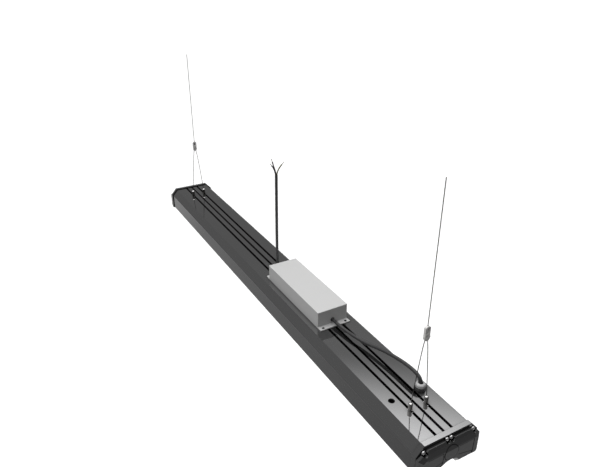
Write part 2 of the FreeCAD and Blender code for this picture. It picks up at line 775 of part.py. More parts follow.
def make_lens_cover(label, turned_round):
    """A clear cover that slides along the bay's grooves, with an optical ridge under each row of chips."""
    inner = "(bay_side + lens_clearance)"
    outer = f"({WALL_INSIDE} - lens_clearance)"
    wall_in = "(bay_side + foot_reach + lens_clearance)"
    wall_out = f"({WALL_INSIDE} - foot_reach - lens_clearance)"
    edge_low = GROOVE_LOW
    edge_top = f"({GROOVE_LOW} + lens_edge)"
    floor_top = "(lens_level + lens_wall)"
    ridge_half = f"({CHIP_ROW_SIDE} - ridge_gap)"
    ridge_radius = f"(({ridge_half} ^ 2 + ridge_tall ^ 2) / (2 * ridge_tall))"
    outline = [
        (inner, edge_low),
        (wall_in, edge_low),
        (wall_in, "lens_level + lens_bevel"),
        (f"{wall_in} + lens_bevel", "lens_level"),
        (f"{wall_out} - lens_bevel", "lens_level"),
        (wall_out, "lens_level + lens_bevel"),
        (wall_out, edge_low),
        (outer, edge_low),
        (outer, edge_top),
        (f"{wall_out} - lens_wall", edge_top),
        (f"{wall_out} - lens_wall", floor_top),
    ]
    for sign in (1, -1):
        outline.append((f"{BAY_MIDDLE} + {sign} * {CHIP_ROW_SIDE} + {ridge_half}", floor_top,
                        minus(ridge_radius)))
        outline.append((f"{BAY_MIDDLE} + {sign} * {CHIP_ROW_SIDE} - {ridge_half}", floor_top))
    outline += [
        (f"{wall_in} + lens_wall", floor_top),
        (f"{wall_in} + lens_wall", edge_top),
        (inner, edge_top),
    ]
    lens = new_body(f"{label}_body")
    add_pad(lens, add_sketch(lens, "YZ_Plane", [outline]), f"2 * {PROFILE_END}", both_ways=True)
    if turned_round:
        lens.Placement = FreeCAD.Placement(Vector(), FreeCAD.Rotation(Vector(0, 0, 1), 180))
    finished(lens, label)


# Driver: a base plate with screw flanges, a drawn cover, and the circuit inside

def make_driver():
    base = new_body("DriverBase")
    half_long = f"({DRIVER_HALF} + driver_flange)"
    plate = [
        (f"driver_middle - {half_long}", "-driver_width / 2"),
        (f"driver_middle + {half_long}", "-driver_width / 2"),
        (f"driver_middle + {half_long}", "driver_width / 2"),
        (f"driver_middle - {half_long}", "driver_width / 2"),
    ]
    holes = []
    for end in ("", "-1 * "):
        for side in ("", "-1 * "):
            holes.append(circle(f"driver_middle + {end}{FLANGE_HOLE_REACH}", f"{side}{FLANGE_HOLE_SIDE}",
                                "flange_screw_radius + 2 * screw_clearance"))
    add_pad(base, add_sketch(base, "XY_Plane", [plate] + holes, "body_height"), "driver_base_thick")
    finished(base, "driver_base")

    cover = new_body("DriverCover")

    def rectangle(inset):
        long_half = f"({DRIVER_HALF} - {inset})"
        wide_half = f"(driver_width / 2 - {inset})"
        return [
            (f"driver_middle - {long_half}", minus(wide_half)),
            (f"driver_middle + {long_half}", minus(wide_half)),
            (f"driver_middle + {long_half}", wide_half),
            (f"driver_middle - {long_half}", wide_half),
        ]
    add_pad(cover, add_sketch(cover, "XY_Plane", [rectangle("0")], DRIVER_FLOOR),
            "driver_height - driver_base_thick")
    block = cover.Tip
    floor = size(DRIVER_FLOOR)
    kept = [f"Edge{index}" for index, edge in enumerate(block.Shape.Edges, start=1)
            if edge.BoundBox.ZMax > floor + 1]
    rounded = cover.newObject("PartDesign::Fillet", "DriverCoverEdges")
    rounded.Base = (block, kept)
    rounded.setExpression("Radius", bound("driver_corner"))
    doc.recompute()
    add_pocket(cover, add_sketch(cover, "XY_Plane", [rectangle("driver_sheet")], DRIVER_FLOOR),
               "driver_height - driver_base_thick - driver_sheet", forwards=True)
    cord_hole = [circle("0", CORD_EXIT_LEVEL, "bushing_neck")]
    add_pocket(cover, add_sketch(cover, "YZ_Plane", cord_hole, f"driver_middle - {DRIVER_HALF} - 1"),
               "driver_length + 2", forwards=True)
    finished(cover, "driver_cover")

    board_level = f"({DRIVER_FLOOR} + spacer_tall)"
    board_length = "(driver_length - 2 * driver_sheet - 2 * driver_board_end_gap)"
    board_width = "(driver_width - 2 * driver_sheet - 2 * driver_board_side_gap)"
    finished(box("DriverBoard", "driver_middle", "0", board_level, board_length, board_width, "board_thick"),
             "driver_board")

    def post(name, x, y, z, radius, tall):
        cylinder = doc.addObject("Part::Cylinder", name)
        cylinder.setExpression("Radius", bound(radius))
        cylinder.setExpression("Height", bound(tall))
        set_place(cylinder, x, y, z)
        return cylinder

    spacers = []
    for end in (-1, 1):
        for side in (-1, 1):
            spacers.append(post("DriverSpacer", f"driver_middle + {end} * ({board_length} / 2 - 2 * spacer_radius)",
                                f"{side} * ({board_width} / 2 - 2 * spacer_radius)", DRIVER_FLOOR,
                                "spacer_radius", "spacer_tall"))
    group = doc.addObject("Part::Compound", "DriverSpacers")
    group.Links = spacers
    finished(group, "driver_spacers")
    # wound parts and capacitors, placed along the board from its input end to its output end
    parts_level = f"({board_level} + board_thick)"
    tallest = f"(body_height + driver_height - driver_sheet - roof_gap - {parts_level})"
    finished(box("Transformer", "driver_middle + transformer_shift", "0", parts_level, "transformer_length",
                 "transformer_width", tallest), "driver_transformer")
    finished(box("Choke", "driver_middle - choke_shift", "-choke_side", parts_level, "choke_length",
                 "choke_width", "choke_tall"), "driver_choke")
    capacitors = [post("Capacitor", "driver_middle - input_capacitor_shift", "0", parts_level,
                       "input_capacitor_radius", tallest)]
    for shift, side in (("output_capacitor_shift", 1), ("output_capacitor_shift", -1), ("last_capacitor_shift", 0)):
        capacitors.append(post("Capacitor", f"driver_middle + {shift}", f"{side} * output_capacitor_side",
                               parts_level, "output_capacitor_radius", "output_capacitor_tall"))
    group = doc.addObject("Part::Compound", "Capacitors")
    group.Links = capacitors
    finished(group, "driver_capacitors")

    screw = new_body("FlangeScrew")
    add_turned(screw, [
        ("0", "-flange_screw_length"),
        ("flange_screw_radius", "-flange_screw_length"),
        ("flange_screw_radius", "0"),
        ("flange_screw_head", "0"),
        ("flange_screw_head", "flange_screw_head_tall / 2"),
        ("flange_screw_head - flange_screw_head_tall / 2", "flange_screw_head_tall"),
        ("0", "flange_screw_head_tall"),
    ])
    places = []
    for end in (1, -1):
        for side in (1, -1):
            places.append((f"driver_middle + {end} * {FLANGE_HOLE_REACH}", f"{side} * {FLANGE_HOLE_SIDE}",
                           DRIVER_FLOOR))
    group_of("driver_screws", screw, places)


def make_bushing(label, cord_diameter, end, nose):
    """A rubber bushing that is snapped into the cover's end wall, with a tapered nose round a free cord."""
    bore = f"({cord_diameter} / 2 + cord_clearance)"
    neck = "(bushing_neck - cord_clearance)"
    wall = "driver_sheet"
    section = [
        (bore, f"-{wall} - bushing_flange_thick"),
        ("bushing_flange", f"-{wall} - bushing_flange_thick"),
        ("bushing_flange", f"-{wall}"),
        (neck, f"-{wall}"),
        (neck, "0"),
    ]
    if nose:
        section += [
            ("bushing_flange", "0"),
            ("bushing_flange", "bushing_flange_thick"),
            (f"{bore} + bushing_nose_wall", "bushing_flange_thick"),
            (f"{bore} + bushing_nose_wall / 2", "bushing_nose"),
            (bore, "bushing_nose"),
        ]
    else:
        section.append((bore, "0"))
    bushing = new_body(f"{label}_body")
    add_turned(bushing, section)
    bushing.Placement = FreeCAD.Placement(Vector(), FreeCAD.Rotation(Vector(0, 1, 0), end * 90))
    set_place(bushing, f"driver_middle + {end} * {DRIVER_HALF}", "0", CORD_EXIT_LEVEL)
    finished(bushing, label)


# Cord routes, chosen by hand: each list is the cord's corners, with heights above the top face

def above_top(x, y, height):
    return Vector(x, y, size("body_height") + height)


def make_cords():
    inside = size("cord_start")
    exit_level = size("cord_exit_height")
    lead_start = size(f"driver_middle - {DRIVER_HALF}")
    output_start = size(f"driver_middle + {DRIVER_HALF}")
    entry_x = size(ENTRY_PLACE)
    entry_y = size("entry_side")
    lead = [
        above_top(lead_start + inside, 0, exit_level),
        above_top(lead_start - 11.3, 0, exit_level),
        above_top(lead_start - 22.1, 0, exit_level + 6.2),
        above_top(lead_start - 28.2, 0, exit_level + 17),
        above_top(lead_start - 24.6, 0.8, 249.5),
    ]
    finished(tube("MainsLead", lead, size("lead_diameter")), "mains_lead")
    split = lead[-1]
    spread = size("core_diameter") * 0.58
    lean = -spread * 0.9
    cores = {
        "core_live": ((spread, lean, 0), (spread, lean, 3), (1.3, -2.2, 10), (1.1, -4.4, 18.2), (0.9, -7.6, 26.6)),
        "core_neutral": ((-spread, lean, 0), (-spread, lean, 5.2), (-1.7, -3.1, 10.1), (-1.9, -8.3, 16.3)),
        "core_earth": ((0, spread, 0), (0, spread, 7.2), (0.2, 5.1, 13.9), (0.8, 14.3, 19.9)),
    }
    tips = []
    bare = size("core_tip_length")
    for name, offsets in cores.items():
        points = [split + Vector(*offset) for offset in offsets]
        finished(tube(name.title(), points, size("core_diameter")), name)
        tips.append(Part.makeCylinder(size("core_tip_diameter") / 2, bare, points[-1], points[-1] - points[-2]))
    bare_tips = doc.addObject("Part::Feature", "CoreTips")
    bare_tips.Shape = Part.makeCompound(tips)
    finished(bare_tips, "core_tips")
    output = [
        above_top(output_start - inside, 0, exit_level),
        above_top(output_start + 28, 0.3, exit_level),
        above_top(output_start + 67.4, 6, exit_level + 0.2),
        above_top(output_start + 99.4, 13.6, exit_level + 0.8),
        above_top(output_start + 130.4, 21.2, 16.4),
        above_top(entry_x - 79.6, 26.8, 20.4),
        above_top(entry_x - 53.6, entry_y - 1.7, 23.5),
        above_top(entry_x - 33.6, entry_y - 0.6, 25.2),
        above_top(entry_x - 16.6, entry_y - 0.2, 25),
        above_top(entry_x - 4.6, entry_y - 0.1, 21.2),
        above_top(entry_x, entry_y, 13.8),
        above_top(entry_x, entry_y, -8),
    ]
    finished(tube("OutputCable", output, size("output_diameter")), "output_cable")


# Cable gland in the rear entry

def hexagon(flats, x="0", y="0"):
    corners = []
    for count in range(6):
        angle = math.radians(60 * count)
        corners.append((f"{x} + ({flats}) / sqrt(3) * {math.cos(angle):.6f}",
                        f"{y} + ({flats}) / sqrt(3) * {math.sin(angle):.6f}"))
    return corners


def make_gland():
    def seated(body, label, level):
        set_place(body, ENTRY_PLACE, "entry_side", level)
        finished(body, label)

    stem = "(entry_radius - entry_clearance)"
    washer = new_body("GlandWasher")
    add_pad(washer, add_sketch(washer, "XY_Plane", [circle("0", "0", "gland_washer_radius"),
                                                    circle("0", "0", "entry_radius")]), "gland_washer_thick")
    seated(washer, "gland_washer", "body_height")

    # the body: a hexagon over the washer, a stem through the plate and a neck for the cap
    body = new_body("GlandBody")
    foot = "gland_washer_thick"
    neck_top = f"({foot} + gland_body_tall + gland_neck_tall)"
    add_pad(body, add_sketch(body, "XY_Plane", [hexagon("gland_body_flats")], foot), "gland_body_tall")
    add_pad(body, add_sketch(body, "XY_Plane", [circle("0", "0", "gland_neck_radius")], f"{foot} + gland_body_tall"),
            "gland_neck_tall")
    add_pad(body, add_sketch(body, "XY_Plane", [circle("0", "0", stem)], "-gland_stem_length"),
            f"gland_stem_length + {foot}")
    bore = "output_diameter / 2 + 2 * cord_clearance"
    add_pocket(body, add_sketch(body, "XY_Plane", [circle("0", "0", bore)], neck_top),
               f"{neck_top} + gland_stem_length")
    add_pocket(body, add_sketch(body, "XY_Plane", [circle("0", "0", "gland_bore")], neck_top),
               f"{neck_top} - gland_seal_seat")
    seated(body, "gland_body", "body_height")

    seal = new_body("GlandSeal")
    add_pad(seal, add_sketch(seal, "XY_Plane", [circle("0", "0", "gland_bore - entry_clearance"),
                                                circle("0", "0", "output_diameter / 2 + cord_clearance")],
                             "gland_seal_seat"), f"{neck_top} - gland_seal_seat")
    seated(seal, "gland_seal", "body_height")

    # the cap: a domed nut over the neck
    cap = new_body("GlandCap")
    roof = "(gland_cap_tall - gland_cap_roof)"
    add_turned(cap, [
        ("gland_neck_radius + entry_clearance", "0"),
        ("gland_cap_radius", "0"),
        ("gland_cap_radius", "gland_cap_tall * 0.38"),
        ("gland_cap_radius * 0.94", "gland_cap_tall * 0.44", minus("gland_cap_radius * 0.72")),
        ("gland_cap_mouth + 1", "gland_cap_tall"),
        ("gland_cap_mouth", "gland_cap_tall - 0.6"),
        ("gland_cap_mouth", roof),
        ("gland_neck_radius + entry_clearance", roof),
    ])
    seated(cap, "gland_cap", f"body_height + {foot} + gland_body_tall + 0.3")

    nut = new_body("GlandNut")
    add_pad(nut, add_sketch(nut, "XY_Plane", [hexagon("gland_nut_flats"), circle("0", "0", "entry_radius")]),
            "gland_nut_thick")
    seated(nut, "gland_locknut", f"{ROOF_UNDERSIDE} - gland_nut_thick")


# Wire clamps in the T slots, and the bridles, links and hanger wires that hold the light up

def bridle_route(end, link_level):
    """One bridle: a short tail, up through a clamp, over the loop in the link and down to the other clamp."""
    x = end * size(CLAMP_PLACE)
    y = size("slot_side")
    half = size("bridle_half")
    tail_x = x + end * size("wire_tail_reach")
    tail = size("wire_tail_height")
    mouth = size("clamp_tall + clamp_dome") - 1
    loop = link_level + size("bridle_loop_height")
    return [
        above_top(tail_x, -y, tail),
        above_top(x, -y, tail),
        above_top(x, -y, mouth),
        above_top(x, -half, loop),
        above_top(x, half, loop),
        above_top(x, y, mouth),
        above_top(x, y, tail),
        above_top(tail_x, y, tail),
    ]


def make_clamps():
    passage_diameter = size("wire_diameter + 2 * wire_clearance")
    for end, end_name in ((-1, "left"), (1, "right")):
        route = bridle_route(end, size(f"link_level_{end_name}"))
        for side, side_name in ((-1, "front"), (1, "rear")):
            name = f"Clamp{end_name.title()}{side_name.title()}"
            barrel = new_body(f"{name}Barrel")
            dome_radius = "(clamp_radius ^ 2 + clamp_dome ^ 2) / (2 * clamp_dome)"
            add_turned(barrel, [
                ("0", "-slot_lip - slot_nut_thick"),
                ("clamp_stud", "-slot_lip - slot_nut_thick"),
                ("clamp_stud", "0"),
                ("clamp_radius", "0"),
                ("clamp_radius", "clamp_tall", minus(dome_radius)),
                ("0", "clamp_tall + clamp_dome"),
            ])
            set_place(barrel, f"{end} * {CLAMP_PLACE}", f"{side} * slot_side", "body_height")
            passage = tube(f"{name}Passage", route, passage_diameter, report=False)
            drilled = doc.addObject("Part::Cut", name)
            drilled.Base = barrel
            drilled.Tool = passage
            finished(drilled, f"clamp_{end_name}_{side_name}")
    nut = new_body("SlotNut")
    outline = [
        ("-slot_nut_length / 2", "-slot_nut_width / 2"),
        ("slot_nut_length / 2", "-slot_nut_width / 2"),
        ("slot_nut_length / 2", "slot_nut_width / 2"),
        ("-slot_nut_length / 2", "slot_nut_width / 2"),
    ]
    add_pad(nut, add_sketch(nut, "XY_Plane", [outline, circle("0", "0", "clamp_stud + screw_clearance")]),
            "slot_nut_thick")
    places = [(f"{end} * {CLAMP_PLACE}", f"{side} * slot_side", f"{SLOT_LIP} - slot_nut_thick")
              for end in (-1, 1) for side in (-1, 1)]
    group_of("slot_nuts", nut, places)


def make_bridle(end, end_name):
    link_level = f"link_level_{end_name}"
    route = bridle_route(end, size(link_level))
    finished(tube(f"Bridle{end_name.title()}", route, size("wire_diameter")), f"bridle_wire_{end_name}")

    # the link: a cast eye with a window for the hanger's stop and a round passage for the bridle
    link = new_body(f"Link{end_name.title()}Casting")
    half = "link_half_width"
    middle = "link_tall - link_half_width"
    casting = [
        (half, half),
        (half, middle, minus(half)),
        ("0", "link_tall", minus(half)),
        (minus(half), middle),
        (minus(half), half, minus(half)),
        ("0", "0", minus(half)),
    ]
    add_pad(link, add_sketch(link, "YZ_Plane", [casting]), "link_thick", both_ways=True)
    window_top = "(link_tall - link_crown)"
    window = mirrored([("link_window_half", window_top), ("link_window_half", f"{window_top} - link_window_tall")])
    add_pocket(link, add_sketch(link, "YZ_Plane", [window]), "2 * link_thick", both_ways=True)
    hanger_hole = [circle("0", "0", "wire_diameter / 2 + wire_clearance")]
    add_pocket(link, add_sketch(link, "XY_Plane", hanger_hole, "link_tall + 1"), "link_crown + 2")
    screw_hole = [circle("0", "link_screw_height", "link_screw_radius + screw_clearance")]
    add_pocket(link, add_sketch(link, "XZ_Plane", screw_hole, "-link_half_width - 1"),
               "link_half_width + 1 - bridle_half", forwards=True)
    set_place(link, f"{end} * {CLAMP_PLACE}", "0", f"body_height + {link_level}")
    passage = tube(f"Link{end_name.title()}Passage", route, size("wire_diameter + 2 * wire_clearance"),
                   report=False)
    eye = doc.addObject("Part::Cut", f"Link{end_name.title()}")
    eye.Base = link
    eye.Tool = passage
    finished(eye, f"wire_link_{end_name}")

    stop = new_body(f"Stop{end_name.title()}")
    bore = "wire_diameter / 2 + wire_clearance / 2"
    add_pad(stop, add_sketch(stop, "XY_Plane", [circle("0", "0", "stop_radius"), circle("0", "0", bore)]),
            "stop_tall")
    set_place(stop, f"{end} * {CLAMP_PLACE}", "0", f"body_height + {link_level} + {window_top} - stop_tall")
    finished(stop, f"wire_stop_{end_name}")

    hanger = doc.addObject("Part::Cylinder", f"Hanger{end_name.title()}")
    foot = f"(body_height + {link_level} + {window_top} - stop_tall - 1)"
    hanger.setExpression("Radius", bound("wire_diameter / 2"))
    hanger.setExpression("Height", bound(f"body_height + hanger_top_{end_name} - {foot}"))
    set_place(hanger, f"{end} * {CLAMP_PLACE}", "0", foot)
    finished(hanger, f"hanger_wire_{end_name}")


def make_link_screws():
    tip = "(bridle_half + wire_diameter / 2 + link_screw_gap)"
    screw = doc.addObject("Part::Cylinder", "LinkScrew")
    screw.setExpression("Radius", bound("link_screw_radius"))
    screw.setExpression("Height", bound(f"link_half_width + link_screw_proud - {tip}"))
    places = [(f"{end} * {CLAMP_PLACE}", tip, f"body_height + link_level_{name} + link_screw_height")
              for end, name in ((-1, "left"), (1, "right"))]
    group_of("link_screws", screw, places, FreeCAD.Rotation(Vector(1, 0, 0), -90))


make_housing()
for cap_name, cap_turned in (("right", False), ("left", True)):
    make_end_cap(f"end_cap_{cap_name}", cap_turned)
    make_gasket(f"end_gasket_{cap_name}", cap_turned)
make_cap_screws()
for bay_name, bay_sign in (("rear", 1), ("front", -1)):
    make_light_bay(bay_name, bay_sign)
make_board_screws()
make_lens_cover("lens_cover_rear", False)
make_lens_cover("lens_cover_front", True)
make_driver()
make_bushing("lead_bushing", "lead_diameter", -1, nose=True)
make_bushing("output_bushing", "output_diameter", 1, nose=False)
make_cords()
make_gland()
make_clamps()
for end_sign, link_name in ((-1, "left"), (1, "right")):
    make_bridle(end_sign, link_name)
make_link_screws()
doc.recompute()

for piece in doc.Objects:
    if "Invalid" in piece.State or "Error" in piece.State:
        raise RuntimeError(f"{piece.Label} failed: {piece.State}")
for node in nodes:
    if node.Shape.isNull() or not node.Shape.isValid():
        raise RuntimeError(f"{node.Label} has no valid shape")
for node in nodes:
    node.Shape.exportStep(f"parts/{node.Label}.step")
print(f"{len(nodes)} nodes written")
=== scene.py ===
import json
import math

import bmesh
import bpy
from mathutils import Matrix, Vector


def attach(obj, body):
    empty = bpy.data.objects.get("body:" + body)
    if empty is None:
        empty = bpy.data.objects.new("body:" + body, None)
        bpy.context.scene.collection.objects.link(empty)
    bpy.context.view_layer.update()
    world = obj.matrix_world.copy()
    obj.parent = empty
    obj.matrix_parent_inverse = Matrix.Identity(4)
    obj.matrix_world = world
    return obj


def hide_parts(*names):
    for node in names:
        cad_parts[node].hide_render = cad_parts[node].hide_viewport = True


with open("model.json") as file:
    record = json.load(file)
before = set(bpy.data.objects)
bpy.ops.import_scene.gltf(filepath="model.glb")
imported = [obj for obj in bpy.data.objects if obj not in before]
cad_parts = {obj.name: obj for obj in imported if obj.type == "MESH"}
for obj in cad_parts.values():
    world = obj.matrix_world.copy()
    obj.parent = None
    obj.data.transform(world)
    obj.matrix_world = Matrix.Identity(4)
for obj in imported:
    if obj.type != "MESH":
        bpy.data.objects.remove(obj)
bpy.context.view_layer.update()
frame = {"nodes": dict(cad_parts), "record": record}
nodes = frame["nodes"]
scene = bpy.context.scene


# Shader nodes

BLACK = (0.0, 0.0, 0.0)


def ramp(tree, source, steps, smooth=False):
    """A value that runs between two levels: steps are from low, from high, to low, to high."""
    node = tree.nodes.new("ShaderNodeMapRange")
    if smooth:
        node.interpolation_type = "SMOOTHSTEP"
    for socket, value in zip(("From Min", "From Max", "To Min", "To Max"), steps):
        node.inputs[socket].default_value = value
    tree.links.new(source, node.inputs["Value"])
    return node.outputs["Result"]


def combine(tree, operation, *values):
    """A math node's result, from one or two values or sockets."""
    node = tree.nodes.new("ShaderNodeMath")
    node.operation = operation
    for socket, value in zip(node.inputs, values):
        if isinstance(value, float):
            socket.default_value = value
        else:
            tree.links.new(value, socket)
    return node.outputs["Value"]


def seen_directly(tree):
    """1 for rays from the camera, also through clear pieces, else 0."""
    path = tree.nodes.new("ShaderNodeLightPath")
    return combine(tree, "MAXIMUM", path.outputs["Is Camera Ray"], path.outputs["Is Transmission Ray"])


class Shader:
    """A material with one Principled shader, and short ways to add the nodes that feed it."""

    def __init__(self, name, color, roughness, metallic=0.0):
        self.material = bpy.data.materials.new(name)
        self.material.use_nodes = True
        self.tree = self.material.node_tree
        self.shader = self.tree.nodes["Principled BSDF"]
        self.set("Base Color", (*color, 1))
        self.set("Roughness", roughness)
        self.set("Metallic", metallic)
        self.coordinates = self.add("ShaderNodeTexCoord").outputs["Object"]

    def add(self, kind, **settings):
        node = self.tree.nodes.new(kind)
        for key, value in settings.items():
            setattr(node, key, value)
        return node

    def join(self, source, target):
        self.tree.links.new(source, target)

    def set(self, socket, value):
        self.shader.inputs[socket].default_value = value

    def stretched(self, scale):
        """Object coordinates, scaled along each axis."""
        mapping = self.add("ShaderNodeMapping")
        mapping.inputs["Scale"].default_value = scale
        self.join(self.coordinates, mapping.inputs["Vector"])
        return mapping.outputs["Vector"]

    def noise(self, scale, detail=3.0, stretch=None):
        texture = self.add("ShaderNodeTexNoise")
        texture.inputs["Scale"].default_value = scale
        texture.inputs["Detail"].default_value = detail
        self.join(self.stretched(stretch) if stretch else self.coordinates, texture.inputs["Vector"])
        return texture.outputs["Fac"]

    def between(self, factor, low, high):
        """A number that runs from low to high as the factor goes from 0.3 to 0.7."""
        return ramp(self.tree, factor, (0.3, 0.7, low, high))

    def place(self):
        """The place on the object, with the distances to its two middle planes as x and y."""
        split = self.add("ShaderNodeSeparateXYZ")
        self.join(self.coordinates, split.inputs["Vector"])
        x = combine(self.tree, "ABSOLUTE", split.outputs["X"])
        y = combine(self.tree, "ABSOLUTE", split.outputs["Y"])
        return x, y, split.outputs["Z"]

    def crevice_shade(self, reach, low, high=1.0):
        """A factor that falls from high to low where other surfaces stand close by; fed into a colour, it
        paints shade there.
        """
        corner = self.add("ShaderNodeAmbientOcclusion", samples=8)
        corner.inputs["Distance"].default_value = reach
        return ramp(self.tree, corner.outputs["AO"], (0.45, 0.97, low, high))

    def near(self, source, middle, half_width):
        """1 where the value lies within the half width of the middle, else 0."""
        away = combine(self.tree, "ABSOLUTE", combine(self.tree, "SUBTRACT", source, middle))
        return combine(self.tree, "LESS_THAN", away, half_width)

    def all_of(self, *conditions):
        """1 where every (operation, source, level) holds, else 0."""
        result = combine(self.tree, *conditions[0])
        for condition in conditions[1:]:
            result = combine(self.tree, "MULTIPLY", result, combine(self.tree, *condition))
        return result

    def colors(self, factor, first, second):
        """Mixes the base colour from two colours."""
        mix = self.add("ShaderNodeMix", data_type="RGBA")
        mix.inputs["A"].default_value = (*first, 1)
        mix.inputs["B"].default_value = (*second, 1)
        self.join(factor, mix.inputs["Factor"])
        self.join(mix.outputs["Result"], self.shader.inputs["Base Color"])

    def gloss(self, factor, low, high):
        """Makes the roughness vary between two values."""
        self.join(self.between(factor, low, high), self.shader.inputs["Roughness"])

    def rounded(self, radius):
        """Softens the sharp edges of a moulded or cast piece."""
        edge = self.add("ShaderNodeBevel", samples=6)
        edge.inputs["Radius"].default_value = radius
        self.join(edge.outputs["Normal"], self.shader.inputs["Normal"])

    def bump(self, height, strength, distance=0.0001):
        """Raises the surface by a height value."""
        node = self.add("ShaderNodeBump")
        node.inputs["Strength"].default_value = strength
        node.inputs["Distance"].default_value = distance
        self.join(height, node.inputs["Height"])
        self.join(node.outputs["Normal"], self.shader.inputs["Normal"])


# Materials: places and sizes on the object are in metres

HOUSING_GREY = (0.345, 0.345, 0.347)
CAP_GREY = (0.36, 0.36, 0.362)
NICKEL_GREY = (0.38, 0.37, 0.36)
GREEN = (0.035, 0.075, 0.025)
PACKAGE_WHITE = (0.85, 0.85, 0.82)

SLOTS_SIDE = 0.0218
SLOT_FLOOR = 0.0505
BELOW_TOP = 0.0598
# Painted shadow under each cap's rim: from this distance along, below the chamfer's top.
RIM_SHADOW_START = 0.5896
BELOW_CHAMFER = 0.0592

LEDGE_TOP = 0.0576
CAP_FRONT = 0.6085
PANEL_LINE_LEVEL = 0.0398
LOW_LINE_LEVEL = 0.0248
LOW_LINE_SLOPE = 0.248
PANEL_MIDDLE = 0.0325
PANEL_HALF = 0.0165
PANEL_LINE_HALF = 0.0011
DISC_LEVEL = 0.034
DISC_RADIUS = 0.0145
DISC_LINE_HALF = 0.0008

DOME_START = 0.0724
CHIP_PITCH = 0.03933
BAY_MIDDLE = 0.0412
CHIP_ROW_SIDE = 0.0075
WINDOW_RADIUS = 0.0013
STRIPE_START = 0.0114


def housing_finish():
    """Dark anodised aluminium with faint extrusion lines; painted shade makes it near black in the top slots
    and darker near other pieces, and painted shadow makes it near black under the caps' rims.
    """
    look = Shader("housing_anodised", HOUSING_GREY, 0.05, 0.97)
    look.gloss(look.noise(1.0, 3.0, (2, 140, 140)), 0.035, 0.06)
    x, y, z = look.place()
    # Painted shade: the insides of the top slots are coloured near black.
    slots = look.all_of(("LESS_THAN", y, SLOTS_SIDE), ("LESS_THAN", z, BELOW_TOP),
                        ("GREATER_THAN", z, SLOT_FLOOR))
    # Painted shadow: the sides and chamfers beside each cap, under its proud rim, are coloured near black.
    rim_shadow = look.all_of(("GREATER_THAN", x, RIM_SHADOW_START), ("LESS_THAN", z, BELOW_CHAMFER))
    dark = ramp(look.tree, combine(look.tree, "MAXIMUM", slots, rim_shadow), (0.0, 1.0, 1.0, 0.01))
    # Painted shade: darker where other pieces stand close, as beside the driver, clamps and gland.
    shade = combine(look.tree, "MULTIPLY", dark, look.crevice_shade(0.008, 0.45))
    look.colors(shade, BLACK, HOUSING_GREY)
    return look.material


def cap_finish():
    """Die-cast aluminium, coated dark grey, with soft edges; painted shade darkens its ledges and corners,
    and painted shadow lines run along the front's panel steps and round its disc.
    """
    look = Shader("cap_coat", CAP_GREY, 0.16, 1.0)
    look.gloss(look.noise(45.0), 0.1, 0.15)
    look.rounded(0.0002)
    tree = look.tree
    x, y, z = look.place()
    # Painted shade in corners and creases.
    shade = look.crevice_shade(0.003, 0.12)
    facing = look.add("ShaderNodeSeparateXYZ")
    look.join(look.add("ShaderNodeNewGeometry").outputs["True Normal"], facing.inputs["Vector"])
    # Painted shade: up-facing ledges below the rim's top are coloured darker.
    ledge = look.all_of(("GREATER_THAN", facing.outputs["Z"], 0.75), ("LESS_THAN", z, LEDGE_TOP))
    panel_line = look.near(z, PANEL_LINE_LEVEL, PANEL_LINE_HALF)
    low_line = look.near(combine(tree, "ADD", combine(tree, "MULTIPLY", y, LOW_LINE_SLOPE), z),
                         LOW_LINE_LEVEL, PANEL_LINE_HALF)
    lines = combine(tree, "MULTIPLY", combine(tree, "MAXIMUM", panel_line, low_line),
                    look.near(y, PANEL_MIDDLE, PANEL_HALF))
    rise = combine(tree, "SUBTRACT", z, DISC_LEVEL)
    squares = combine(tree, "ADD", combine(tree, "MULTIPLY", y, y), combine(tree, "MULTIPLY", rise, rise))
    disc = look.near(combine(tree, "POWER", squares, 0.5), DISC_RADIUS, DISC_LINE_HALF)
    # Painted shadow lines along the front panels' steps and round the disc.
    shadow_lines = combine(tree, "MULTIPLY", combine(tree, "MAXIMUM", lines, disc),
                      combine(tree, "GREATER_THAN", x, CAP_FRONT))
    shade = combine(tree, "MULTIPLY", shade, ramp(tree, ledge, (0.0, 1.0, 1.0, 0.16)))
    shade = combine(tree, "MULTIPLY", shade, ramp(tree, shadow_lines, (0.0, 1.0, 1.0, 0.2)))
    look.colors(shade, BLACK, CAP_GREY)
    return look.material


def moulded(name, color, roughness):
    """Moulded plastic or rubber with a fine even grain and slightly uneven gloss."""
    look = Shader(name, color, roughness)
    look.colors(look.noise(24.0, 2.0), tuple(0.85 * c for c in color), tuple(1.15 * c for c in color))
    look.gloss(look.noise(60.0), roughness - 0.05, roughness + 0.05)
    look.bump(look.noise(1800.0, 2.0), 0.12)
    return look.material


def metal(name, color, roughness, stretch=(400, 400, 400)):
    """Plated or bare metal with fine tool marks."""
    look = Shader(name, color, roughness, 1.0)
    look.gloss(look.noise(1.0, 3.0, stretch), roughness * 0.7, roughness * 1.35)
    look.colors(look.noise(90.0), tuple(0.9 * c for c in color), tuple(min(1.0, 1.08 * c) for c in color))
    return look.material


def wire_finish():
    """Stainless rope whose colour runs dark and light along its length: painted highlights where the strands
    catch the light in turn.
    """
    look = Shader("stainless_rope", (0.33, 0.32, 0.31), 0.3, 1.0)
    turn = look.noise(1.0, 1.0, (40, 40, 130))
    # Painted highlights: the colour runs from near black to grey along the rope.
    look.colors(look.between(turn, 0.0, 1.0), (0.035, 0.034, 0.032), (0.3, 0.295, 0.285))
    look.gloss(look.noise(300.0), 0.22, 0.36)
    return look.material


